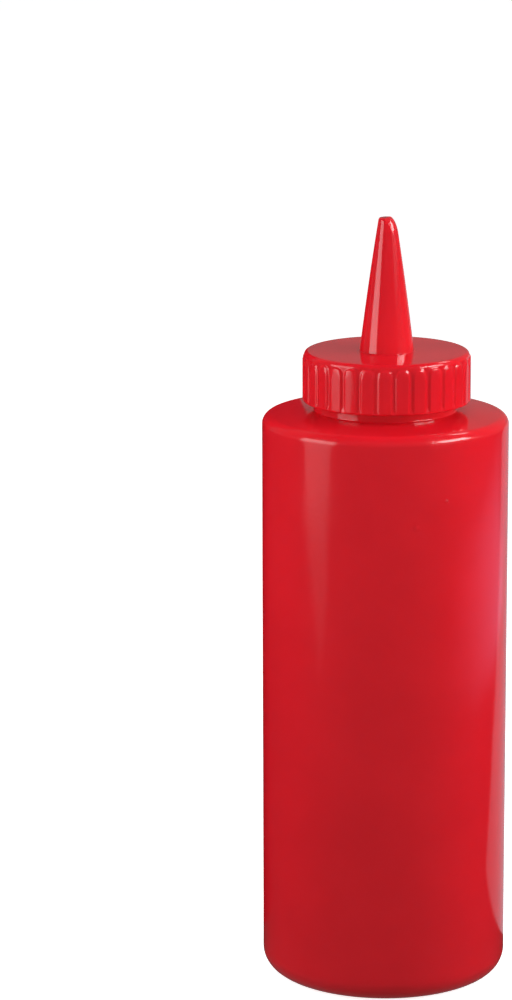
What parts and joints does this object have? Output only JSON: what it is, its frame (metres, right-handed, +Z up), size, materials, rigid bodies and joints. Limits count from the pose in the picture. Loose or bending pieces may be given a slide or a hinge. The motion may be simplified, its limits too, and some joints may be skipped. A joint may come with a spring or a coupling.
{
  "type": "squeeze bottle",
  "caption": "Round plastic squeeze bottle with a flat sloping shoulder, a ribbed screw cap and a long cone spout.",
  "frame": {"origin": "middle of the bottle's foot, on the surface that it stands on", "axes": "+Z up along the bottle's axis to the spout's tip; -Y towards the viewer; +X is the side of the tip's slanted face"},
  "size_m": [0.062, 0.062, 0.195],
  "materials": {
    "bottle_plastic": "opaque red soft polyethylene, glossy with faint blow-moulding ripples",
    "cap_plastic": "opaque red polyethylene, glossy as moulded"
  },
  "bodies": {
    "root": {"bottle": "bottle_plastic", "cap": "cap_plastic"}
  },
  "joints": []
}
